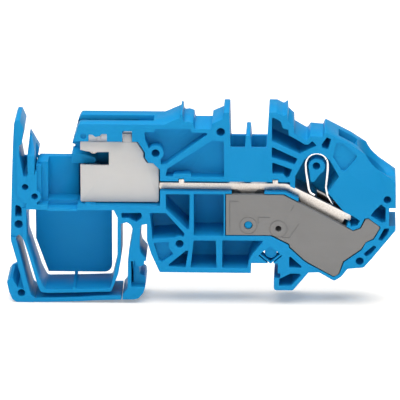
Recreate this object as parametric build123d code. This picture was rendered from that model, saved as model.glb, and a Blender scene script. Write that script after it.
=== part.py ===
from build123d import *
import math
import os

# DIN rail neutral-disconnect terminal block.
# X runs along the block's length, with the conductor side at +X and the busbar side at -X.
# Y runs across the block, with the open side at -Y and the closed back wall at +Y.
# Z is up.  The origin is the middle of the rail seat, on the plane of the rail's flanges.
# All sizes are millimetres.

# ---------------------------------------------------------------- driving dimensions
BLOCK_DEPTH = 12.0                      # pitch of the block in a row
FRONT = -BLOCK_DEPTH / 2
BACK = BLOCK_DEPTH / 2
BACK_WALL = 1.2                         # thickness of the closed wall
FLOOR = BACK - BACK_WALL                # floor of the pockets
BARB_FRONT = 2.5                        # front of the hook's barb
RAIL_FLANGE = 17.5                      # half of the 35 mm rail
HOOK_GAP = 1.3                          # space under the fixed foot for the 1 mm flange

BODY_TOP = 39.6
SLOT_FLOOR = 38.5                       # floor of the marker slots
JUMPER_RIM = 33.7                       # top of the walls of the jumper shafts
JUMPER_CENTRES = (6.6, 12.0)
JUMPER_SIZE = (3.75, 9.8)               # opening of a jumper shaft along X and Y
UPPER_FLOOR = FRONT + 3.4               # floor of the two shallow pockets beside the marker grooves
PEEP_X = (-8.5, 15.5)                   # left edges of the peep notches over the current bar
PEEP_WIDTH = 1.5

BAR_TOP = 23.6                          # flat part of the current bar
BAR_THICK = 1.6
BAR_HALF_WIDTH = 4.2
BAR_LEFT = -26.5
BAR_BEND_X = 19.0
BAR_SLOPE = 26.9                        # slope of the clamp part, degrees below level
BAR_SLOPED_LENGTH = 18.4

SLIDE_FRONT = -4.2                      # front face of the disconnect slide
SLIDE_BACK = 4.5
SLIDE_WALL = 0.9

BAY_FACE = 2.5                          # front of the busbar bay's wall
BAY_TOP = 28.3
BAY_LEFT = -44.3
BAY_RIGHT = -34.4
LEDGE_FRONT = -2.2                      # front of the ledge under that wall
LEDGE_TOP = 18.15

SPRING_X = 26.8                         # centre of the clamp spring's loop
SPRING_Z = 28.65
SPRING_RADIUS = 2.8
SPRING_THICK = 0.5
SPRING_HALF_WIDTH = 3.6

FUNNEL_X = 42.1                         # axis of the conductor entry, where it meets the slope
FUNNEL_Z = 28.9
FUNNEL_RADIUS = 4.6                     # bore for the insulated conductor
FUNNEL_BORE = 7.5                       # depth of that bore
THROAT_RADIUS = 3.3                     # bore for the stripped conductor
THROAT_TAPER = 1.6
FUNNEL_MOUTH = 8.6                      # outer radius of the lead-in cone, wider than the block
FUNNEL_DEPTH = 3.6                      # length of the lead-in cone
FUNNEL_INSET = 1.6                      # part of that cone below the slope
FUNNEL_TILT = 38.0                      # slope of the entry face, degrees

GUIDE_FACE = FRONT + 0.05               # front of the conductor guide
GUIDE_STEP = FRONT + 1.7                # back of its wide front plate
GUIDE_LIFT = 0.4                        # how far that plate stands above the part behind it
GUIDE_GROOVE = 0.12                     # depth of the grooves in its face
GUIDE_PEG = (9.4, 12.9)                 # peg that holds the guide
GUIDE_HOLE = (17.1, 12.05)


# ---------------------------------------------------------------- geometry helpers
def corner_arc(before, corner, after, radius):
    """Tangent points and middle point of a rounded corner."""
    p = Vector(*corner)
    a = (Vector(*before) - p).normalized()
    b = (Vector(*after) - p).normalized()
    angle = math.acos(max(-1.0, min(1.0, a.dot(b))))
    reach = radius / math.tan(angle / 2)
    reach = min(reach, 0.48 * (Vector(*before) - p).length, 0.48 * (Vector(*after) - p).length)
    used = reach * math.tan(angle / 2)
    toward = (a + b).normalized()
    centre = p + toward * (used / math.sin(angle / 2))
    return p + a * reach, centre - toward * used, p + b * reach


def outline(corners, radius=0.0):
    """Closed face in the XZ plane.  A corner is (x, z) or (x, z, radius)."""
    places = [(c[0], 0, c[1]) for c in corners]
    radii = [c[2] if len(c) > 2 else radius for c in corners]
    count = len(places)
    edges = []
    ends = []
    for i, place in enumerate(places):
        if radii[i] > 0:
            first, middle, last = corner_arc(places[i - 1], place, places[(i + 1) % count], radii[i])
            edges.append(ThreePointArc(first, middle, last))
            ends.append((first, last))
        else:
            ends.append((Vector(*place), Vector(*place)))
    for i in range(count):
        start = ends[i][1]
        stop = ends[(i + 1) % count][0]
        if (stop - start).length > 1e-4:
            edges.append(Line(start, stop))
    return Face(Wire(edges))


def plate(corners, y0=FRONT, y1=BACK, radius=0.0):
    """Flat piece with an XZ outline between two Y planes."""
    face = outline(corners, radius)
    return Pos(0, y0, 0) * extrude(face, amount=y1 - y0, dir=(0, 1, 0))


def block(x0, x1, z0, z1, y0=FRONT, y1=BACK):
    """Box from its limits."""
    return Pos((x0 + x1) / 2, (y0 + y1) / 2, (z0 + z1) / 2) * Box(x1 - x0, y1 - y0, z1 - z0)


def round_bar(x, z, radius, y0=FRONT, y1=BACK):
    """Cylinder along Y."""
    return Pos(x, (y0 + y1) / 2, z) * Rot(90, 0, 0) * Cylinder(radius, y1 - y0)


def ribbon(points, thickness, y0, y1, radius=1.0):
    """Strip of even thickness that follows an XZ centre line with rounded bends."""
    left = []
    right = []
    for i, point in enumerate(points):
        here = Vector(point[0], 0, point[1])
        back_dir = None
        next_dir = None
        if i > 0:
            back_dir = (here - Vector(points[i - 1][0], 0, points[i - 1][1])).normalized()
        if i < len(points) - 1:
            next_dir = (Vector(points[i + 1][0], 0, points[i + 1][1]) - here).normalized()
        back_dir = back_dir or next_dir
        next_dir = next_dir or back_dir
        mean = (back_dir + next_dir).normalized()
        normal = Vector(-mean.Z, 0, mean.X)
        stretch = (thickness / 2) / max(0.35, mean.dot(next_dir))
        ends = i in (0, len(points) - 1)
        bend = 0.0 if ends else radius
        turn = back_dir.X * next_dir.Z - back_dir.Z * next_dir.X
        outer = bend + thickness / 2 if bend else 0.0
        inner = max(0.05, bend - thickness / 2) if bend else 0.0
        left_radius = inner if turn > 0 else outer
        right_radius = outer if turn > 0 else inner
        left.append((here.X + normal.X * stretch, here.Z + normal.Z * stretch, left_radius))
        right.append((here.X - normal.X * stretch, here.Z - normal.Z * stretch, right_radius))
    return plate(left + right[::-1], y0, y1)


def along_slope(x, z, distance, angle):
    """Point at a distance from (x, z) down a slope toward +X."""
    turn = math.radians(angle)
    return x + distance * math.cos(turn), z - distance * math.sin(turn)


def one_solid(shape):
    """The shape as a single cleaned solid."""
    solids = shape.solids()
    return max(solids, key=lambda s: s.volume)


# ---------------------------------------------------------------- housing
def housing_profile():
    """Full-depth profile of the middle and conductor side, clockwise from the busbar nose."""
    return plate([
        (-36.2, 31.1, 0.3), (-34.3, 38.4, 1.2), (-33.6, BODY_TOP, 0.5),
        (-12.2, BODY_TOP), (-8.0, 41.5), (-8.0, 42.4, 0.2), (-7.5, 42.4, 0.2), (-7.2, 40.3, 0.5),
        (-5.9, 40.5), (-4.7, 40.1, 0.4), (-4.4, SLOT_FLOOR), (-0.1, SLOT_FLOOR), (0.1, 40.0),
        (2.8, 41.2), (3.0, 43.0, 0.3), (4.5, 43.0, 0.3), (4.8, JUMPER_RIM),
        (8.5, JUMPER_RIM), (8.7, 36.9, 0.3), (9.8, 36.9, 0.3), (10.1, JUMPER_RIM),
        (14.0, JUMPER_RIM), (14.3, 39.0), (14.5, 43.1, 0.3), (16.5, 43.1, 0.4), (18.2, 42.2, 0.4),
        (19.3, 43.0, 0.2), (19.4, 41.0), (20.9, 39.6, 0.3), (21.0, 37.6, 0.4),
        (24.2, 35.7, 0.4), (25.1, 37.0, 0.2), (28.3, 36.7, 0.3), (28.8, 38.1, 0.4),
        (35.5, 34.6, 1.5), (39.4, 32.0, 1.5), (42.4, 28.1, 0.8), (47.0, 24.8, 0.5),
        (47.1, 17.85), (45.4, 17.85), (45.4, 13.05), (47.1, 13.05), (47.1, 11.9, 0.4),
        (41.0, 4.1), (39.0, 1.8, 0.6), (34.9, 1.4, 0.5), (33.3, -0.7), (31.5, -1.9, 0.8),
        (27.6, 0.4, 0.8), (24.9, 0.3), (20.9, -4.6, 0.8), (16.0, -4.6, 0.7), (16.0, -HOOK_GAP, 0.2),
        (RAIL_FLANGE + 0.15, -HOOK_GAP), (RAIL_FLANGE + 0.15, 0.0), (17.0, 0.0), (17.0, 2.7),
        (10.1, 2.7), (10.1, 0.0, 0.2), (-13.3, 0.0, 0.4), (-15.5, 4.9), (-16.6, 8.6, 0.8),
        (-16.6, 16.6), (-47.6, 16.6), (-47.6, 17.9), (-44.7, 20.4), (-36.0, 20.4),
        (-36.0, 27.6), (-35.4, 30.9),
    ])


def left_tower():
    """Busbar tower, bay wall and the inner U frame that carries the bay."""
    post = plate([
        (-51.6, 9.0), (-51.1, 25.0), (-50.7, 34.5), (-50.4, 39.4, 0.5), (-50.0, 40.4, 0.3),
        (-48.9, 40.4, 0.3), (-47.9, 38.0, 0.2), (-48.5, 34.1), (-49.1, 33.7), (-49.1, 31.0),
        (-48.6, 28.0), (-48.1, 25.4, 0.3), (-47.1, 25.4, 0.2), (-47.1, 25.95), (-45.2, 25.95),
        (-45.2, 26.6), (-44.5, 26.6, 0.2), (-44.9, 17.9), (-47.5, 17.9), (-47.5, 8.6),
        (-48.3, 8.4), (-49.4, 9.9, 0.7), (-50.3, 9.0),
    ])
    back_web = block(-50.8, -44.0, 18.0, 27.6, FLOOR, BACK) + block(-50.8, -48.2, 12.0, 19.0, FLOOR, BACK)
    rim = plate([
        (-53.0, 8.0), (-53.0, 41.0), (-50.3, 41.0), (-49.9, 34.0), (-49.9, 20.6, 1.5), (-48.0, 18.2, 1.5),
        (-43.0, 18.2), (-43.0, 17.0), (-48.5, 17.0), (-48.5, 8.0),
    ], FRONT - 1, FRONT + 0.35)
    return post - rim + back_web


def busbar_bay():
    """Wall that the busbar rests on, with its stepped left jamb and the ledge under it."""
    wall = block(BAY_LEFT, BAY_RIGHT, 16.6, BAY_TOP, BAY_FACE, FLOOR)
    back_wall = block(BAY_LEFT, BAY_RIGHT - 0.6, 16.6, BAY_TOP - 0.6, FLOOR, BACK)
    jamb_inner = block(-44.5, -42.05, 16.6, BAY_TOP, LEDGE_FRONT, FLOOR)
    jamb_outer = block(-45.0, -43.7, 16.6, BAY_TOP - 0.5, LEDGE_FRONT - 1.8, FLOOR)
    ledge = block(BAY_LEFT, BAY_RIGHT, 16.6, LEDGE_TOP, LEDGE_FRONT, FLOOR)
    lip = block(-42.1, BAY_RIGHT, 16.3, 16.85, FRONT, LEDGE_FRONT + 0.1)
    boss = round_bar(-45.3, 20.1, 1.6)
    return wall + back_wall + jamb_inner + jamb_outer + ledge + lip + boss


def bay_front():
    """Space in front of the ledge, above the lip."""
    return block(-42.0, BAY_RIGHT, 16.85, 19.0, FRONT - 1, LEDGE_FRONT)


def bay_clearance():
    """What the slide leaves free to pass in front of the bay's wall."""
    return block(-34.6, -26.0, 17.5, BAY_TOP + 0.3, BAY_FACE - 0.15, BACK + 1)


def u_frame():
    """Bars under the busbar bay, open to the front, with the rear panel hanging behind them."""
    path = plate([
        (-48.3, 9.5), (-48.3, 8.4), (-47.4, 5.6), (-45.1, -2.7), (-44.1, -5.7, 1.2),
        (-42.2, -5.95), (-33.9, -5.7), (-25.8, -5.4, 0.8), (-24.0, -0.6), (-23.3, 3.2),
        (-23.2, 16.9), (-24.1, 16.9), (-24.2, 3.6), (-25.0, -0.3), (-26.0, -4.5, 0.8),
        (-33.9, -4.8), (-42.9, -5.0, 1.0), (-44.4, -1.8), (-46.7, 5.8), (-47.5, 8.4),
        (-47.5, 17.0), (-48.3, 17.0),
    ])
    panel = plate([
        (-45.8, 17.0), (-45.8, 5.4), (-42.6, -3.7), (-26.1, -3.7, 2.0), (-26.1, 15.0), (-25.6, 17.0),
    ], FLOOR, BACK)
    right_bridge = plate([
        (-25.3, 16.9), (-24.9, 16.3), (-24.2, 14.8), (-22.9, 14.8), (-22.9, 16.9),
    ])
    rib = block(-35.8, -35.0, -5.2, -3.5, FLOOR, BACK)
    floor_rib = block(-35.8, -35.0, -5.2, -4.4)
    return path + panel + right_bridge + rib + floor_rib


def latch_mount():
    """Root of the latch leg under the slide chamber, with its slots."""
    return plate([
        (-24.0, 16.7), (-24.0, 12.8), (-22.7, 13.1), (-21.7, 13.4, 0.4), (-20.7, 12.7, 0.4),
        (-20.4, 11.9), (-18.2, 11.9), (-17.9, 12.7, 0.3), (-16.5, 13.0), (-16.5, 16.7),
    ])


def core_pockets():
    """Moulding pockets on the open side, each with the back wall as its floor."""
    pockets = [
        [(-11.8, 21.1), (-5.6, 21.1), (-5.7, 11.9), (-6.2, 11.6), (-11.7, 17.1)],
        [(-15.9, 16.0), (-11.7, 16.0), (-6.9, 10.5), (-7.2, 9.6), (-15.2, 9.0), (-15.5, 12.6)],
        [(-4.6, 21.2), (3.1, 21.2), (3.1, 10.0), (-4.6, 10.0)],
        [(-11.5, 1.7), (-6.6, 5.9), (-5.9, 6.0), (-6.7, 1.3)],
        [(-4.6, 8.7), (1.1, 8.7), (1.3, 1.3), (-5.4, 1.3)],
        [(2.7, 8.8), (13.4, 8.8), (10.5, 5.0), (9.6, 3.3), (9.2, 1.3), (2.7, 1.3)],
        [(15.3, 41.9), (16.7, 41.3), (17.6, 40.7), (18.1, 39.0), (19.5, 38.6), (19.6, 37.2),
         (23.8, 34.7), (24.6, 34.7), (25.6, 35.7), (26.8, 34.4), (25.3, 33.7), (22.5, 32.2),
         (15.3, 35.6)],
        [(15.3, 34.0), (21.9, 30.9), (21.2, 29.3), (15.3, 31.2)],
        [(15.4, 29.9), (20.6, 28.0), (19.8, 26.0), (19.0, 25.7), (18.3, 26.8), (15.5, 26.8)],
        [(28.0, 34.8), (29.3, 36.7), (30.5, 36.2), (29.6, 33.4), (28.1, 33.9)],
        [(43.3, 18.9), (44.5, 17.9), (44.5, 14.1), (43.6, 13.9), (40.6, 15.8), (41.8, 17.4)],
        [(44.2, 12.4), (45.6, 12.5), (45.0, 10.8), (43.6, 9.0), (42.6, 9.3)],
        [(41.6, 7.9), (42.3, 7.3), (41.0, 5.6), (39.7, 4.7), (38.9, 5.5)],
        [(19.9, 4.9), (23.6, 1.5), (19.9, 1.6)],
        [(17.4, -1.5), (20.3, 0.0), (22.7, 0.0), (22.9, -0.6), (20.4, -3.4), (17.3, -3.4)],
        [(-50.3, 17.7), (-49.3, 17.5), (-48.7, 16.8), (-48.7, 14.6), (-50.4, 14.6)],
        [(-23.2, 15.9), (-18.1, 16.0), (-17.8, 15.2), (-18.1, 14.3), (-19.2, 13.5), (-20.2, 13.9),
         (-21.2, 14.5), (-23.0, 14.5)],
    ]
    return [plate(corners, FRONT - 1, FLOOR, 0.3) for corners in pockets]


def shallow_pockets():
    """Pockets that end well before the back wall."""
    upper = plate([
        (-17.1, 37.6), (-14.8, 37.6), (-14.3, 38.5), (-5.5, 38.6), (-5.0, 37.6), (-0.6, 37.5),
        (-11.7, 29.1), (-13.0, 29.0), (-13.0, 30.2), (-14.3, 32.0), (-16.0, 33.2), (-17.0, 35.6),
    ], FRONT - 1, UPPER_FLOOR, 0.3)
    middle = plate([
        (-11.3, 27.9), (0.1, 35.6), (3.1, 35.3), (3.2, 25.8), (-5.1, 25.8), (-5.4, 26.6),
        (-9.6, 26.5), (-10.0, 25.8), (-11.8, 25.9),
    ], FRONT - 1, UPPER_FLOOR, 0.3)
    low = plate([
        (-14.9, 7.9), (-10.9, 8.3), (-11.0, 6.8), (-9.8, 4.9), (-12.8, 2.8), (-13.5, 3.3),
    ], FRONT - 1, FRONT + 1.8, 0.3)
    return [upper, middle, low]


def front_bosses():
    """Round sockets on the open side: X, Z, socket radius and boss radius."""
    return [
        (-14.3, 32.0, 1.05, 2.05), (2.3, 37.8, 1.1, 1.7), (-8.2, 7.7, 1.05, 2.1),
        (44.9, 20.1, 1.0, 1.6), (38.0, 3.5, 1.05, 1.9), (-47.7, 22.6, 0.85, 1.4),
        (-45.3, 20.1, 0.85, 1.5), (-49.5, 12.5, 1.1, 1.7),
    ]


def slide_chamber():
    """Guide in which the disconnect slide runs, open toward the busbar bay."""
    run = plate([
        (-45.0, 27.7), (-45.0, 40.5), (-37.0, 40.5), (-36.6, 35.0),
        (-18.8, 35.0), (-17.0, 32.2), (-17.0, 30.8), (-16.2, 29.5), (-14.9, 29.3), (-13.2, 27.6),
        (-13.2, 17.9), (-44.7, 17.9), (-44.7, 27.7),
    ], FRONT - 1, FLOOR)
    room = block(-34.5, -18.9, 34.8, BODY_TOP - 1.2, FRONT + 1.6, FLOOR)
    step = block(-32.4, -29.6, 17.8, 18.15)
    return run - step, room


def slide_windows():
    """Two cut-outs in the lip of the front wall, where the slide's index lugs show."""
    wide = plate([
        (-31.4, 34.5), (-31.4, 36.8), (-30.4, 36.8), (-29.6, 36.2), (-28.5, 36.5), (-28.0, 37.0),
        (-26.7, 37.0), (-26.7, 34.5),
    ], FRONT - 1, FRONT + 1.8)
    narrow = block(-22.8, -20.3, 34.5, 37.8, FRONT - 1, FRONT + 1.8)
    return wide + narrow


def jumper_shafts():
    """Shafts above the current bar, open at the top for push-in jumpers."""
    length, width = JUMPER_SIZE
    middle = -0.2
    shafts = []
    for x in JUMPER_CENTRES:
        shaft = block(x - length / 2, x + length / 2, BAR_TOP, 44.5, middle - width / 2, middle + width / 2)
        shafts.append(fillet(shaft.edges().filter_by(Axis.Z), 0.7))
    return shafts


def bar_channel():
    """Seat of the current bar, level and then sloping down to the clamp."""
    end_x, end_z = along_slope(BAR_BEND_X, BAR_TOP - BAR_THICK, BAR_SLOPED_LENGTH + 0.5, BAR_SLOPE)
    lift = BAR_THICK + 0.15
    run = plate([
        (-13.4, BAR_TOP + 0.1), (-13.4, BAR_TOP - BAR_THICK - 0.1),
        (BAR_BEND_X - 0.1, BAR_TOP - BAR_THICK - 0.1), (end_x, end_z), (end_x + 0.8, end_z + lift + 0.2),
        (BAR_BEND_X + 0.6, BAR_TOP + 0.1),
    ], FRONT - 1, BAR_HALF_WIDTH + 0.1)
    under_jumpers = block(5.1, 13.5, BAR_TOP - BAR_THICK - 1.3, BAR_TOP, FRONT - 1, BAR_HALF_WIDTH + 0.1)
    under_clamp = plate([
        (22.3, 20.5), (22.0, 18.4), (34.1, 12.0), (35.6, 14.8),
    ], FRONT - 1, BAR_HALF_WIDTH + 0.1)
    relief = block(-13.4, BAR_BEND_X + 1.0, BAR_TOP - 0.5, BAR_TOP + 1.0, FRONT - 1, 1.4 - BAR_HALF_WIDTH)
    peeps = [block(x, x + PEEP_WIDTH, BAR_TOP, BAR_TOP + 1.7, FRONT - 1, FRONT + 3.0) for x in PEEP_X]
    return [run, under_jumpers, under_clamp, relief] + peeps


def clamp_chamber():
    """Room for the clamp spring, with the spring's post left standing."""
    room = plate([
        (21.3, 26.2), (23.7, 30.8), (30.0, 30.7), (32.5, 26.2), (29.7, 21.9), (34.8, 15.6), (22.0, 21.8),
        (21.3, 22.6),
    ], FRONT - 1, BAR_HALF_WIDTH + 0.1)
    return room + round_bar(SPRING_X, SPRING_Z + 0.1, 3.6, FRONT - 1, BAR_HALF_WIDTH + 0.1)


def spring_post():
    """Drop-shaped post inside the clamp spring's loop."""
    post = round_bar(SPRING_X, SPRING_Z, 2.1, FRONT + 0.6, BACK)
    tail = plate([(24.75, 28.6), (25.3, 24.6), (26.1, 24.5), (28.8, 28.3)], FRONT + 0.6, BACK, 0.3)
    return post + tail - round_bar(SPRING_X - 0.1, SPRING_Z + 0.15, 1.0, FRONT - 1, BACK - 2)


def insert_outline(grow=0.0, lift=0.0):
    """Outline of the conductor guide insert, grown for its seat and lifted for its front plate."""
    g = grow
    corners = [
        (3.7 - g, 20.7 + g), (18.3 + g, 20.7 + g), (33.4 + g, 12.7 + g), (36.2, 11.2 + g),
        (38.2 - g, 11.9 + g), (39.4 - g, 14.4 + g), (40.1, 14.5 + g), (43.1 + g, 12.3, 0.5),
        (41.4 + g, 9.3 - g), (39.5, 8.3 - g), (38.3 + g, 6.4 - g), (33.7 + g, 3.0 - g),
        (32.6 + g, -0.4, 0.8), (31.4, -1.1 - g, 0.8), (25.0 - g, 2.5 - g, 0.8), (23.7 - g, 3.4 - g),
        (20.1 - g, 6.8 - g, 0.6), (19.9 - g, 7.6 - g), (15.4 - g, 9.9 - g), (3.7 - g, 9.9 - g),
    ]
    return [(corner[0], corner[1] + lift) + corner[2:] for corner in corners]


def insert_seat():
    """Hollow behind the conductor guide."""
    front = plate(insert_outline(0.25, GUIDE_LIFT), FRONT - 1, GUIDE_STEP + 0.15)
    return front + plate(insert_outline(0.15), GUIDE_STEP - 0.5, FLOOR)


def guide_pegs():
    """Peg that holds the conductor guide and the pegs that reach the next block's sockets."""
    return round_bar(*GUIDE_PEG, 0.95, FRONT + 0.4, BACK)


def operating_slot():
    """Slot from the top for the screwdriver that opens the clamp."""
    return plate([(32.6, 37.8), (37.9, 34.8), (32.4, 26.2), (30.4, 27.4)], -2.9, 2.9)


def conductor_entry():
    """Round entry that slopes down to the clamp, with its wide lead-in cone."""
    tilt = Pos(FUNNEL_X, 0, FUNNEL_Z) * Rot(0, FUNNEL_TILT, 0)
    bore = tilt * Pos(0, 0, -FUNNEL_BORE / 2) * Cylinder(FUNNEL_RADIUS, FUNNEL_BORE)
    taper = tilt * Pos(0, 0, -FUNNEL_BORE - THROAT_TAPER / 2) * Cone(THROAT_RADIUS, FUNNEL_RADIUS, THROAT_TAPER)
    throat = tilt * Pos(0, 0, -FUNNEL_BORE - 5.0) * Cylinder(THROAT_RADIUS, 10.0)
    cone = tilt * Pos(0, 0, FUNNEL_DEPTH / 2 - FUNNEL_INSET) * Cone(FUNNEL_RADIUS, FUNNEL_MOUTH, FUNNEL_DEPTH)
    return bore + taper + throat + cone


def detent():
    """Diamond opening and round post in a V of thin arms at the foot's flexing corner."""
    diamond = plate([(14.97, 7.3), (17.67, 5.25), (15.15, 3.0), (12.48, 5.25)], FRONT - 1, FLOOR)
    hollow = block(12.8, 17.5, 2.6, 5.3, FRONT + 3.5, FLOOR)
    left = plate([(12.0, 4.7), (12.3, 5.0), (14.95, 2.75), (14.7, 2.45)], FRONT - 1, FRONT + 2.8)
    right = plate([(18.15, 4.7), (17.85, 5.0), (15.35, 2.75), (15.6, 2.45)], FRONT - 1, FRONT + 2.8)
    post = round_bar(15.2, 5.5, 1.55, FRONT + 0.8, BACK)
    return [diamond, hollow, left, right], post


def marker_carriers():
    """Grooves that receive marker tags and the screwdriver groove on the body's top."""
    groove = block(-36.0, -14.9, BODY_TOP - 1.4, BODY_TOP + 1, -2.3, 2.3)
    return [groove]


def small_recesses():
    """Shallow windows and beads on the open face."""
    rhombus = plate([(31.8, 35.2), (33.2, 35.3), (37.0, 31.8), (36.5, 30.7), (34.0, 27.8),
                     (33.2, 27.9), (30.9, 31.5), (31.4, 33.9)], FRONT - 1, FRONT + 0.8, 0.3)
    end_pocket = plate([
        (35.4, 14.6), (36.7, 15.3), (38.0, 14.4), (37.3, 13.1), (35.6, 12.8),
    ], FRONT - 1, 0, 0.2)
    foot_gap = block(-30.9, -28.2, 18.0, 18.6, FRONT - 1, FRONT + 1)
    dot = round_bar(-32.7, 36.4, 0.75, FRONT - 1, FRONT + 0.5)
    return [rhombus, end_pocket, foot_gap, dot]


def slide_tongue():
    """Insulating tongue that the slide's jaws rest on in the open position."""
    return plate([
        (-36.0, 27.6), (-36.0, 30.0), (-33.9, 30.1), (-32.1, 29.8), (-30.2, 29.2), (-29.8, 28.5),
        (-30.2, 27.6),
    ], -1.0, BACK)


def make_housing():
    """Blue polyamide body, one moulding."""
    body = housing_profile() + left_tower() + u_frame() + latch_mount()
    cuts = core_pockets() + shallow_pockets() + list(slide_chamber()) + bar_channel()
    cuts += [slide_windows(), clamp_chamber(), bay_front()]
    cuts += [insert_seat(), operating_slot(), conductor_entry()] + small_recesses()
    cuts += jumper_shafts() + marker_carriers()
    gaps, post = detent()
    cuts += gaps
    body = body - cuts
    bosses = [round_bar(x, z, boss) for x, z, socket, boss in front_bosses() if boss > 2.0]
    body = body + bosses + [post, guide_pegs(), spring_post(), slide_tongue(), busbar_bay()]
    sockets = [round_bar(x, z, socket, FRONT - 1, BACK - 2.0) for x, z, socket, boss in front_bosses()]
    body = body - sockets
    body = body - hook_clearance()
    return one_solid(body)


def hook_clearance():
    """Opening in the tower in which the busbar hook flexes."""
    return block(-47.15, -45.15, 25.95, 40.0, FRONT - 1, BACK + 1)


# ---------------------------------------------------------------- flexing pieces of the housing
def make_busbar_hook():
    """Barbed hook that snaps over the edge of the busbar, on a straight stem with a sloping front."""
    spear = [
        (-47.0, 26.1), (-47.05, 31.0), (-46.9, 34.8), (-44.5, 30.5), (-45.0, 27.9, 0.2),
        (-45.3, 27.7), (-45.3, 26.1),
    ]
    barb = plate(spear, BARB_FRONT, BACK)
    slope = make_face(Polyline([
        (-47.2, FRONT, 26.1), (-47.2, FRONT, 30.8), (-47.2, FRONT + 0.6, 31.4),
        (-47.2, BARB_FRONT + 0.1, 34.0), (-47.2, BARB_FRONT + 0.1, 26.1),
    ], close=True))
    stem = extrude(slope, amount=1.9, dir=(1, 0, 0)) & plate(spear)
    return one_solid(barb + stem)


def make_latch_arm():
    """Outer bar of the foot with the release hook for a screwdriver."""
    bar = plate([
        (-51.55, 8.75), (-51.5, 8.0, 0.5), (-50.0, 2.4), (-48.3, -5.0), (-48.3, -8.5), (-46.1, -8.5),
        (-45.5, -7.35), (-46.5, -6.6, 0.8), (-47.3, -3.8), (-49.5, 5.6), (-50.25, 8.75),
    ])
    hook = plate([
        (-52.0, -2.2), (-52.7, -3.1), (-52.1, -5.9), (-51.3, -7.8), (-50.2, -8.5, 0.8), (-47.0, -8.5),
        (-47.0, -5.0), (-48.3, -5.0), (-49.9, -4.6), (-51.3, -2.2),
    ])
    web = plate([(-52.0, -2.2), (-50.9, -1.6), (-49.0, -1.5), (-47.5, -5.0), (-51.0, -6.0)], FLOOR, BACK)
    socket = round_bar(-49.0, -6.0, 1.0, FRONT - 1, FLOOR)
    return one_solid(bar + hook + web - socket)


def make_latch_link():
    """Bottom bar that ties the release hook to the latch leg."""
    return one_solid(plate([
        (-45.95, -8.5), (-44.0, -8.5), (-34.2, -8.2), (-28.7, -7.8), (-23.2, -7.6), (-23.2, -6.45),
        (-28.7, -6.6), (-33.9, -7.0), (-44.6, -7.4, 0.5), (-45.15, -7.4),
    ]))


def make_latch_leg():
    """Leg with the nose that snaps under the rail's flange."""
    leg = plate([
        (-20.3, 11.65), (-20.6, 8.6), (-21.2, 6.0), (-21.5, 3.0), (-21.6, -4.6, 0.4),
        (-22.95, -6.4, 0.3), (-22.95, -7.55), (-20.0, -7.5), (-18.8, -7.2, 0.8), (-17.5, -5.6, 1.2),
        (-17.0, -3.8, 0.6), (-17.2, -2.2, 0.8), (-18.6, -1.45, 0.8), (-18.9, 1.3),
        (-17.2, 2.0, 0.8), (-16.75, 3.4, 0.6), (-18.2, 5.2), (-18.5, 6.6), (-18.4, 9.0),
        (-18.3, 11.65),
    ])
    step = plate([(-20.0, 3.0), (-16.9, 3.0), (-16.5, -4.1), (-20.6, -4.1)], FRONT - 1, FRONT + 3.0)
    lobe = round_bar(-18.5, 2.7, 1.2, FRONT, FRONT + 3.2)
    relief = block(-20.7, -20.2, -3.8, 2.9, FRONT - 1, FLOOR)
    return one_solid(leg - step + (lobe & leg) - relief)


# ---------------------------------------------------------------- current path
def make_current_bar():
    """Tinned copper bar from the slide to the conductor clamp."""
    low = BAR_TOP - BAR_THICK
    top_end = along_slope(BAR_BEND_X + 0.3, BAR_TOP, BAR_SLOPED_LENGTH, BAR_SLOPE)
    low_end = along_slope(BAR_BEND_X, low, BAR_SLOPED_LENGTH, BAR_SLOPE)
    bar = plate([
        (BAR_LEFT, BAR_TOP - 0.3, 0.2), (BAR_LEFT, low + 0.3, 0.2), (BAR_LEFT + 0.8, low),
        (BAR_BEND_X, low, 2.0), (low_end[0], low_end[1], 0.3), (top_end[0], top_end[1], 0.6),
        (BAR_BEND_X + 0.3, BAR_TOP, 2.0), (BAR_LEFT + 0.8, BAR_TOP),
    ], -BAR_HALF_WIDTH, BAR_HALF_WIDTH)
    bulge = plate([(6.4, low + 0.1), (12.0, low + 0.1), (10.6, low - 1.1, 1.5), (7.8, low - 1.1, 1.5)],
                  -BAR_HALF_WIDTH, BAR_HALF_WIDTH)
    narrow = [block(BAR_LEFT - 1, -13.35, low - 1, BAR_TOP + 1, side, side + 3) for side in (-6.1, 3.1)]
    slots = [block(x - 1.0, x + 1.0, low - 2, BAR_TOP + 1, -1.9, 1.9) for x in JUMPER_CENTRES]
    near = along_slope(BAR_BEND_X, low, 7.0, BAR_SLOPE)
    far = along_slope(BAR_BEND_X, low, 16.6, BAR_SLOPE)
    collar_drop = 1.45
    side = plate([
        (near[0] - 3.0, near[1] + 1.8), (near[0] - 2.4, near[1] - 0.4, 0.3),
        (far[0] - 0.6, far[1] - collar_drop, 0.3), (far[0] + 0.1, far[1] - 0.4, 0.3),
        (far[0] + 0.2, far[1] + 0.3),
    ], -BAR_HALF_WIDTH, -BAR_HALF_WIDTH + 0.9)
    window = plate([
        (near[0] + 0.6, near[1] - 3.0), (near[0] + 2.6, near[1] + 5.0), (far[0] + 1.8, far[1] + 4.0),
        (far[0] - 1.2, far[1] - 3.0),
    ], -3.0, 3.0)
    lugs = [block(x + 0.1, x + PEEP_WIDTH - 0.1, low, BAR_TOP + 0.9, -BAR_HALF_WIDTH, 1.0 - BAR_HALF_WIDTH)
            for x in PEEP_X]
    return one_solid(bar + bulge + side + mirror(side, Plane.XZ) + lugs - slots - narrow - window)


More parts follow.
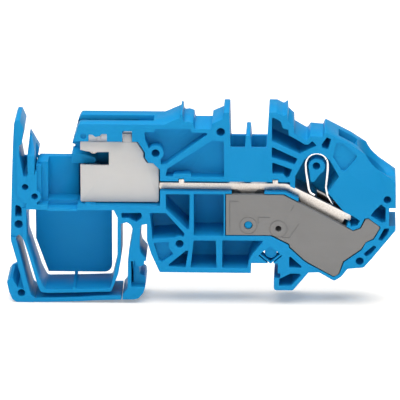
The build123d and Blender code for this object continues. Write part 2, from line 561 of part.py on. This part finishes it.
# ---------------------------------------------------------------- clamp spring
def spring_arc(start, stop, radius=SPRING_RADIUS):
    """Part of the spring's loop between two angles, measured from +X toward +Z."""
    outer = radius + SPRING_THICK / 2
    inner = radius - SPRING_THICK / 2
    wide = round_bar(SPRING_X, SPRING_Z, outer, -SPRING_HALF_WIDTH, SPRING_HALF_WIDTH)
    hole = round_bar(SPRING_X, SPRING_Z, inner, -SPRING_HALF_WIDTH - 1, SPRING_HALF_WIDTH + 1)
    steps = 6
    rim = 9.0
    fan = [(SPRING_X, SPRING_Z)]
    for i in range(steps + 1):
        angle = math.radians(start + (stop - start) * i / steps)
        fan.append((SPRING_X + rim * math.cos(angle), SPRING_Z + rim * math.sin(angle)))
    return (wide - hole) & plate(fan, -SPRING_HALF_WIDTH, SPRING_HALF_WIDTH)


def make_spring_anchor():
    """Fixed leg and most of the loop of the clamp spring, resting on the current bar."""
    left = SPRING_X - SPRING_RADIUS
    leg = ribbon([
        (left, SPRING_Z + 0.05), (left + 0.1, 26.8), (left + 0.8, 22.1), (left + 1.3, 20.95), (26.3, 20.42),
    ], SPRING_THICK, -SPRING_HALF_WIDTH, SPRING_HALF_WIDTH, 0.5)
    return one_solid(spring_arc(30, 180) + leg)


def make_spring_leg():
    """Clamping leg of the spring, which presses the conductor against the bar's window."""
    right = SPRING_X + SPRING_RADIUS
    leg = ribbon([(right, SPRING_Z + 0.05), (29.6, 27.0), (29.2, 22.2), (29.6, 20.2), (31.0, 17.6)],
                 SPRING_THICK, -2.7, 2.7, 0.8)
    bridge = spring_arc(0, 27)
    return one_solid(leg + bridge)


# ---------------------------------------------------------------- conductor guide
def guide_panels():
    """Cutters of the shallow grooves and steps on the guide's front face."""
    rings = [round_bar(x, z, 2.35) - round_bar(x, z, 2.1) for x, z in (GUIDE_PEG, GUIDE_HOLE)]
    corner = [block(4.5, 4.75, 11.0, 19.5), block(4.6, 6.9, 19.25, 19.5)]
    bracket = [block(11.8, 15.0, 15.0, 15.25), block(11.8, 12.05, 13.5, 15.1)]
    hooked = plate([(22.3, 13.6), (22.5, 13.4), (20.0, 9.6), (18.1, 9.7), (18.1, 9.9), (19.8, 9.9)])
    tick = plate([(21.0, 18.5), (21.25, 18.4), (20.4, 16.9), (20.2, 17.0)])
    return rings + corner + bracket + [hooked, tick]


def make_conductor_guide():
    """Dark grey insert that closes the clamp room and guides the conductor's end."""
    front = plate(insert_outline(0.0, GUIDE_LIFT), GUIDE_FACE, GUIDE_STEP)
    shell = front + plate(insert_outline(), GUIDE_STEP - 0.3, FLOOR - 0.2)
    entry = Pos(FUNNEL_X, 0, FUNNEL_Z) * Rot(0, FUNNEL_TILT, 0) * Pos(0, 0, -16.0) * Cylinder(3.9, 27.0)
    peg_hole = round_bar(*GUIDE_PEG, 1.1, FRONT - 1, BACK)
    locating = round_bar(*GUIDE_HOLE, 0.8, FRONT - 1, 0)
    grooves = [Pos(0, GUIDE_FACE + GUIDE_GROOVE - BACK, 0) * shape for shape in guide_panels()]
    underside = block(5.2, 18.0, 11.0, 19.6, FLOOR - 3.2, BACK)
    cut = plate([(21.0, 6.5), (24.0, 3.6), (31.0, 0.8), (36.5, 6.0), (26.5, 12.0)], -2.6, FLOOR + 1, 0.5)
    return one_solid(shell - entry - peg_hole - locating - grooves - underside - cut)


# ---------------------------------------------------------------- disconnect slide
def slide_outline():
    """Outer outline of the disconnect slide."""
    return [
        (-33.6, 34.3, 0.2), (-19.2, 34.3, 0.2), (-17.5, 31.6), (-17.5, 30.2), (-16.7, 28.9),
        (-15.0, 28.7), (-13.6, 27.3, 0.3), (-13.6, 18.4, 0.5), (-33.6, 18.3, 0.3),
    ]


def make_slide_carriage():
    """Light grey slide body, hollow toward the back wall, open at both contact ends."""
    w = SLIDE_WALL
    body = plate(slide_outline(), SLIDE_FRONT, SLIDE_BACK)
    hollow = plate([
        (-32.6, 33.3), (-20.0, 33.3), (-18.5, 31.3), (-18.5, 29.8), (-14.6, 27.2), (-14.6, 19.4),
        (-32.6, 19.4),
    ], SLIDE_FRONT + w, SLIDE_BACK + 1)
    notch = plate([
        (-34.5, 32.4), (-32.0, 31.8), (-29.5, 31.6), (-26.3, 31.7), (-26.3, 28.1), (-33.0, 28.1),
        (-34.5, 28.3),
    ], SLIDE_FRONT - 1, SLIDE_BACK + 1)
    jaw_port = block(-34.5, -32.5, 26.6, 32.4, SLIDE_FRONT + w, SLIDE_BACK + 1)
    bar_port = block(-15.0, -13.0, BAR_TOP - BAR_THICK - 0.15, BAR_TOP + 0.15, -3.25, SLIDE_BACK + 1)
    lug = block(-22.6, -20.5, 34.2, 36.5, -4.1, 0.0)
    dimple = round_bar(-29.0, 34.5, 0.6, -2.5, 1.5)
    return one_solid(body - hollow - notch - jaw_port - bar_port + lug - dimple - bay_clearance())


def make_slide_contact():
    """Tinned copper contact in the slide: busbar jaws, web, and lips on the current bar."""
    upper = ribbon([(-32.3, 32.0), (-30.4, 30.6), (-28.2, 31.9), (-20.8, 31.9)], 0.8, -1.6, 2.6, 0.6)
    lower = ribbon([(-32.3, 25.6), (-30.4, 26.9), (-28.2, 25.7), (-20.8, 25.7)], 0.8, -1.6, 2.6, 0.6)
    web = block(-21.4, -20.6, 25.3, 32.3, -1.6, 2.6)
    bridge = block(-21.0, -18.3, 28.6, 29.4, -0.6, 1.6)
    drop = block(-19.1, -18.3, 24.6, 29.4, -1.6, 2.6)
    lip = ribbon([(-18.7, 25.0), (-17.4, 24.05), (-15.6, 25.2)], 0.7, -1.6, 2.6, 0.5)
    return one_solid(upper + lower + web + bridge + drop + lip - bay_clearance())


def make_jaw_spring():
    """Steel over-spring that closes the busbar jaws."""
    clip = ribbon([
        (-28.9, 32.6), (-28.0, 32.75), (-19.9, 32.75), (-19.9, 24.75), (-28.0, 24.75), (-28.9, 24.9),
    ], 0.3, -1.2, 2.2, 0.5)
    window = block(-20.5, -19.5, 28.4, 29.6, -0.8, 1.8)
    return one_solid(clip - window)


def make_lip_spring():
    """Steel leaf that presses the contact's lip onto the current bar."""
    return one_solid(ribbon([(-17.9, 28.0), (-17.3, 25.1), (-16.0, 26.0)], 0.25, -1.0, 2.2, 0.4))


# ---------------------------------------------------------------- write the nodes
PIECES = {
    "housing": make_housing,
    "busbar_hook": make_busbar_hook,
    "latch_arm": make_latch_arm,
    "latch_link": make_latch_link,
    "latch_leg": make_latch_leg,
    "current_bar": make_current_bar,
    "clamp_spring_anchor": make_spring_anchor,
    "clamp_spring_leg": make_spring_leg,
    "conductor_guide": make_conductor_guide,
    "slide_carriage": make_slide_carriage,
    "slide_contact": make_slide_contact,
    "jaw_spring": make_jaw_spring,
    "lip_spring": make_lip_spring,
}

os.makedirs("parts", exist_ok=True)
for name, make in PIECES.items():
    export_step(make(), f"parts/{name}.step")
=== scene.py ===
import math

import bmesh
import bpy
from mathutils import Matrix, Vector


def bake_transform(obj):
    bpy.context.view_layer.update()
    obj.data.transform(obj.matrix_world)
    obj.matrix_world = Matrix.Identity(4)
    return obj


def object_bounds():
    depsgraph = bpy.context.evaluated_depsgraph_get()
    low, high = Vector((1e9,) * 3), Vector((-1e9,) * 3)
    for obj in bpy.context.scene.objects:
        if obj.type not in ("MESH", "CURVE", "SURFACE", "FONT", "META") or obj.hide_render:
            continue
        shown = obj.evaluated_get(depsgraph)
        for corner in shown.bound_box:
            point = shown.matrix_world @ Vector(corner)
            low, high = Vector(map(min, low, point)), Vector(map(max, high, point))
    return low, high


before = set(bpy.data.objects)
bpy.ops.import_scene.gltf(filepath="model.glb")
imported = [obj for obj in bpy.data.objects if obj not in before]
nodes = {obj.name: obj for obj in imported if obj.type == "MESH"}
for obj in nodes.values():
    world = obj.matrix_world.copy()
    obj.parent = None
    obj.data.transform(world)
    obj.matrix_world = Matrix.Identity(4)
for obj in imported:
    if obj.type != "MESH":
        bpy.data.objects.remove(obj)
cad_low, cad_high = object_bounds()
MM = 0.001


# ---------------------------------------------------------------- camera
def make_camera(azimuth, elevation, distance, lens, target):
    """Long-lens camera that looks at target, from angles in degrees and a distance in metres."""
    a, e = math.radians(azimuth), math.radians(elevation)
    back = Vector((math.sin(a) * math.cos(e), -math.cos(a) * math.cos(e), math.sin(e)))
    right = Vector((math.cos(a), math.sin(a), 0.0))
    up = back.cross(right)
    data = bpy.data.cameras.new("camera")
    data.lens = lens
    data.sensor_width = 36.0
    data.sensor_fit = "HORIZONTAL"
    data.clip_start = 0.05
    data.clip_end = 20.0
    camera = bpy.data.objects.new("camera", data)
    bpy.context.scene.collection.objects.link(camera)
    pose = Matrix((right, up, back)).transposed().to_4x4()
    pose.translation = Vector(target) + back * distance
    camera.matrix_world = pose
    bpy.context.scene.camera = camera


make_camera(azimuth=1.795, elevation=17.968, distance=1.18009, lens=413.345,
            target=(-0.0031525, 0.0, 0.0176615))


# ---------------------------------------------------------------- shader helpers
def new_material(name):
    """A material with its node tree and its Principled shader."""
    material = bpy.data.materials.new(name)
    material.use_nodes = True
    tree = material.node_tree
    shader = tree.nodes["Principled BSDF"]
    return material, tree, shader


def node(tree, kind, **values):
    """A node with its properties set and its sockets given by name."""
    made = tree.nodes.new(kind)
    for key, value in values.items():
        if key in made.inputs.keys():
            made.inputs[key].default_value = value
        else:
            setattr(made, key, value)
    return made


def noise(tree, scale, detail=3.0, rough=0.55, stretch=None, distortion=0.0):
    """Noise in object space, with the pattern's size in cells per metre."""
    place = tree.nodes.new("ShaderNodeTexCoord")
    made = node(tree, "ShaderNodeTexNoise", Scale=scale, Detail=detail, Roughness=rough)
    made.inputs["Distortion"].default_value = distortion
    source = place.outputs["Object"]
    if stretch:
        mapping = node(tree, "ShaderNodeMapping")
        mapping.inputs["Scale"].default_value = stretch
        tree.links.new(source, mapping.inputs["Vector"])
        source = mapping.outputs["Vector"]
    tree.links.new(source, made.inputs["Vector"])
    return made.outputs["Fac"]


def remap(tree, source, low, high, out_low, out_high):
    """The source's low to high range, spread over out_low to out_high."""
    made = node(tree, "ShaderNodeMapRange")
    made.inputs["From Min"].default_value = low
    made.inputs["From Max"].default_value = high
    made.inputs["To Min"].default_value = out_low
    made.inputs["To Max"].default_value = out_high
    tree.links.new(source, made.inputs["Value"])
    return made.outputs["Result"]


def mix(tree, factor, first, second, blend="MIX"):
    """Colour mix of two colours or sockets.  Inputs 6 and 7 and output 2 are the node's colour sockets."""
    made = node(tree, "ShaderNodeMix", data_type="RGBA", blend_type=blend)
    if isinstance(factor, (int, float)):
        made.inputs[0].default_value = factor
    else:
        tree.links.new(factor, made.inputs[0])
    for slot, value in ((6, first), (7, second)):
        if isinstance(value, tuple):
            made.inputs[slot].default_value = (*value, 1.0)
        else:
            tree.links.new(value, made.inputs[slot])
    return made.outputs[2]


def bump(tree, shader, height, strength, distance):
    made = node(tree, "ShaderNodeBump", Strength=strength, Distance=distance)
    tree.links.new(height, made.inputs["Height"])
    tree.links.new(made.outputs["Normal"], shader.inputs["Normal"])


# ---------------------------------------------------------------- materials
def moulded_polyamide(name, base, deep_tone_and_shade, bright, rough, gloss, grain, scatter, mottle):
    """Moulded plastic: fine spark-eroded grain, soft flow clouds, and painted shade, a deeper colour mixed
    in where ambient occlusion finds recesses.
    """
    material, tree, shader = new_material(name)
    clouds = noise(tree, 60.0, 2.0, 0.5)
    flow = noise(tree, 120.0, 4.0, 0.6, stretch=(1.0, 1.0, 3.0), distortion=0.6)
    fine = noise(tree, 5200.0, 2.0, 0.6)
    body = mix(tree, remap(tree, clouds, 0.35, 0.65, 0.0, 1.0), base, bright)
    body = mix(tree, remap(tree, flow, 0.3, 0.7, 0.0, mottle), body, deep_tone_and_shade)
    # Painted shade: ambient occlusion mixes the deep colour into recesses and crevices; the same colour
    # also tints the flow clouds.
    hollow = node(tree, "ShaderNodeAmbientOcclusion", samples=8)
    hollow.inputs["Distance"].default_value = 6.0 * MM
    shade = remap(tree, hollow.outputs["AO"], 0.05, 0.7, 0.05, 0.0)
    body = mix(tree, shade, body, deep_tone_and_shade)
    tree.links.new(body, shader.inputs["Base Color"])
    roughness = remap(tree, fine, 0.25, 0.75, rough - 0.06, rough + 0.08)
    tree.links.new(roughness, shader.inputs["Roughness"])
    shader.inputs["IOR"].default_value = 1.53
    shader.inputs["Specular IOR Level"].default_value = gloss
    shader.inputs["Subsurface Weight"].default_value = scatter
    shader.inputs["Subsurface Radius"].default_value = (0.15 * MM, 0.35 * MM, 0.9 * MM)
    shader.inputs["Subsurface Scale"].default_value = 1.0
    bump(tree, shader, fine, grain, 0.02 * MM)
    return material


def tinned_copper(name):
    """Electro-tinned strip: matt silver with fine rolled grain and scattered bright and dark flecks."""
    material, tree, shader = new_material(name)
    grain = noise(tree, 2600.0, 5.0, 0.7)
    rolled = noise(tree, 500.0, 4.0, 0.6, stretch=(0.25, 3.0, 3.0))
    flecks = noise(tree, 3800.0, 1.0, 0.4)
    body = mix(tree, remap(tree, grain, 0.3, 0.7, 0.0, 1.0), (0.36, 0.34, 0.32), (0.72, 0.69, 0.66))
    body = mix(tree, remap(tree, rolled, 0.35, 0.65, 0.0, 0.5), body, (0.60, 0.565, 0.53))
    body = mix(tree, remap(tree, flecks, 0.66, 0.72, 0.0, 0.5), body, (0.27, 0.25, 0.24))
    tree.links.new(body, shader.inputs["Base Color"])
    shader.inputs["Metallic"].default_value = 1.0
    tree.links.new(remap(tree, grain, 0.2, 0.8, 0.28, 0.50), shader.inputs["Roughness"])
    bump(tree, shader, grain, 0.6, 0.02 * MM)
    return material


def spring_steel(name):
    """Bright rolled stainless strip with drawn lines along its length."""
    material, tree, shader = new_material(name)
    drawn = noise(tree, 900.0, 4.0, 0.6, stretch=(1.0, 6.0, 1.0))
    fine = noise(tree, 4200.0, 2.0, 0.5)
    body = mix(tree, remap(tree, drawn, 0.3, 0.7, 0.0, 1.0), (0.70, 0.71, 0.73), (0.88, 0.88, 0.89))
    tree.links.new(body, shader.inputs["Base Color"])
    shader.inputs["Metallic"].default_value = 1.0
    tree.links.new(remap(tree, drawn, 0.2, 0.8, 0.14, 0.28), shader.inputs["Roughness"])
    bump(tree, shader, fine, 0.12, 0.01 * MM)
    return material


BLUE = moulded_polyamide(
    "housing_blue", base=(0.006, 0.235, 0.515), deep_tone_and_shade=(0.005, 0.185, 0.465), bright=(0.009, 0.25, 0.54),
    rough=0.38, gloss=0.05, grain=0.08, scatter=0.08, mottle=0.08)
LIGHT_GREY = moulded_polyamide(
    "slide_grey", base=(0.505, 0.507, 0.508), deep_tone_and_shade=(0.28, 0.28, 0.29), bright=(0.52, 0.522, 0.523),
    rough=0.5, gloss=0.2, grain=0.06, scatter=0.05, mottle=0.06)
DARK_GREY = moulded_polyamide(
    "guide_grey", base=(0.19, 0.191, 0.193), deep_tone_and_shade=(0.09, 0.09, 0.09), bright=(0.20, 0.201, 0.203),
    rough=0.55, gloss=0.2, grain=0.08, scatter=0.03, mottle=0.08)
TIN = tinned_copper("tinned_copper")
STEEL = spring_steel("spring_steel")

FINISH = {
    "housing": BLUE, "busbar_hook": BLUE, "latch_arm": BLUE, "latch_link": BLUE, "latch_leg": BLUE,
    "current_bar": TIN, "slide_contact": TIN,
    "clamp_spring_anchor": STEEL, "clamp_spring_leg": STEEL, "jaw_spring": STEEL, "lip_spring": STEEL,
    "conductor_guide": DARK_GREY, "slide_carriage": LIGHT_GREY,
}
# Rounding of each node's sharp edges, in millimetres.
EDGES = {
    "housing": 0.16, "busbar_hook": 0.14, "latch_arm": 0.16, "latch_link": 0.16, "latch_leg": 0.16,
    "current_bar": 0.12, "slide_contact": 0.08, "clamp_spring_anchor": 0.06, "clamp_spring_leg": 0.06,
    "jaw_spring": 0.05, "lip_spring": 0.05, "conductor_guide": 0.22, "slide_carriage": 0.22,
}


def dress(name, material, rounding):
    """Gives a CAD node its material and softens its sharp edges."""
    piece = nodes[name]
    piece.data.materials.clear()
    piece.data.materials.append(material)
    for polygon in piece.data.polygons:
        polygon.use_smooth = True
    weld = piece.modifiers.new("weld", "WELD")
    weld.merge_threshold = 0.002 * MM
    bevel = piece.modifiers.new("edge_rounding", "BEVEL")
    bevel.width = rounding * MM
    bevel.segments = 2
    bevel.limit_method = "ANGLE"
    bevel.angle_limit = math.radians(35.0)
    bevel.harden_normals = True
    bevel.use_clamp_overlap = True


for node_name, finish in FINISH.items():
    dress(node_name, finish, EDGES[node_name])


# ---------------------------------------------------------------- living hinges
# Half the strips' width, a hair inside the faces they lie between.
HINGE_HALF = 5.999 * MM


def hinge_strip(name, corners, material):
    """Thin web of the moulding across a flexing place, from its XZ corners in millimetres."""
    mesh = bpy.data.meshes.new(name)
    made = bmesh.new()
    front = [made.verts.new((x * MM, -HINGE_HALF, z * MM)) for x, z in corners]
    back = [made.verts.new((x * MM, HINGE_HALF, z * MM)) for x, z in corners]
    made.faces.new(front)
    made.faces.new(back[::-1])
    for i in range(len(corners)):
        j = (i + 1) % len(corners)
        made.faces.new((front[j], front[i], back[i], back[j]))
    bmesh.ops.recalc_face_normals(made, faces=made.faces)
    made.to_mesh(mesh)
    made.free()
    mesh.materials.append(material)
    strip = bpy.data.objects.new(name, mesh)
    bpy.context.scene.collection.objects.link(strip)
    return strip


arm_hinge = hinge_strip(
    "arm_hinge", [(-51.54, 8.6), (-50.27, 8.6), (-50.28, 9.14), (-51.56, 9.14)], BLUE)
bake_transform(arm_hinge)
leg_hinge = hinge_strip(
    "leg_hinge", [(-20.3, 11.5), (-18.3, 11.5), (-18.28, 12.04), (-20.35, 12.04)], BLUE)
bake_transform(leg_hinge)
link_hinge = hinge_strip(
    "link_hinge", [(-46.25, -8.499), (-45.8, -8.499), (-45.1, -7.46), (-45.62, -7.45)], BLUE)
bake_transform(link_hinge)
hook_hinge = hinge_strip(
    "hook_hinge", [(-47.0, 25.8), (-45.3, 25.8), (-45.3, 26.25), (-47.0, 26.25)], BLUE)
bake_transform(hook_hinge)


# ---------------------------------------------------------------- floor and light
FLOOR_FRONT, FLOOR_BACK, FLOOR_SIDE = -1.5, 1.1, 3.0
FLOOR_BEND, BEND_STEPS = 0.22, 12
# Distances from the origin between which painted shade turns the paper grey, in metres.
FAR_SHADE_FROM, FAR_SHADE_TO = 0.42, 0.8


def make_floor():
    """Pale floor that curves up into a low rise far behind, greyed away from the object by painted shade,
    with a faint warm glow of painted light that lifts its shadows.
    """
    mesh = bpy.data.meshes.new("floor")
    made = bmesh.new()
    level = cad_low.z - 0.05 * MM
    profile = [(FLOOR_FRONT, level), (FLOOR_BACK, level)]
    for i in range(1, BEND_STEPS + 1):
        turn = math.radians(90.0 * i / BEND_STEPS)
        rise = FLOOR_BEND * (1.0 - math.cos(turn))
        profile.append((FLOOR_BACK + FLOOR_BEND * math.sin(turn), level + rise))
    rows = [[made.verts.new((side, y, z)) for side in (-FLOOR_SIDE, FLOOR_SIDE)] for y, z in profile]
    for low, high in zip(rows, rows[1:]):
        made.faces.new((low[0], low[1], high[1], high[0]))
    made.to_mesh(mesh)
    made.free()
    for polygon in mesh.polygons:
        polygon.use_smooth = True
    floor = bpy.data.objects.new("floor", mesh)
    bpy.context.scene.collection.objects.link(floor)
    material, tree, shader = new_material("paper")
    fibre = noise(tree, 400.0, 3.0, 0.6)
    paper = mix(tree, fibre, (0.95, 0.92, 0.885), (0.97, 0.945, 0.91))
    place = tree.nodes.new("ShaderNodeTexCoord")
    distance = node(tree, "ShaderNodeVectorMath", operation="LENGTH")
    tree.links.new(place.outputs["Object"], distance.inputs[0])
    # Painted shade: the paper greys away from the object, standing in for an unlit studio beyond.
    far_shade = remap(tree, distance.outputs["Value"], FAR_SHADE_FROM, FAR_SHADE_TO, 0.0, 1.0)
    tree.links.new(mix(tree, far_shade, paper, (0.34, 0.34, 0.35)), shader.inputs["Base Color"])
    shader.inputs["Roughness"].default_value = 0.85
    shader.inputs["Specular IOR Level"].default_value = 0.2
    # Painted light: the floor glows faintly warm by itself, lifting the object's cast shadow on it.
    shader.inputs["Emission Color"].default_value = (1.0, 0.84, 0.66, 1.0)
    shader.inputs["Emission Strength"].default_value = 0.24
    mesh.materials.append(material)


def area_light(name, place, target, width, height, watts):
    """White rectangular light at place that faces target."""
    data = bpy.data.lights.new(name, "AREA")
    data.shape = "RECTANGLE"
    data.size = width
    data.size_y = height
    data.energy = watts
    light = bpy.data.objects.new(name, data)
    light.location = place
    aim = Vector(target) - Vector(place)
    light.rotation_euler = aim.to_track_quat("-Z", "Y").to_euler()
    bpy.context.scene.collection.objects.link(light)


make_floor()
area_light("front", place=(0.06, -1.30, 0.07), target=(0.0, 0.0, 0.018), width=0.9, height=0.6, watts=5.9)
area_light("top", place=(-0.06, -0.03, 0.95), target=(0.0, 0.0, 0.0), width=1.5, height=1.2, watts=19.0)
area_light("rim", place=(0.44, 1.25, 0.13), target=(0.0, 0.0, 0.02), width=0.4, height=0.10, watts=0.07)

world = bpy.data.worlds.new("studio")
bpy.context.scene.world = world
world.use_nodes = True
world.node_tree.nodes["Background"].inputs["Color"].default_value = (1.0, 1.0, 1.0, 1.0)
world.node_tree.nodes["Background"].inputs["Strength"].default_value = 0.18
bpy.context.scene.view_settings.view_transform = "Standard"
bpy.context.scene.view_settings.look = "None"

# ---------------------------------------------------------------- finish
bpy.context.view_layer.update()
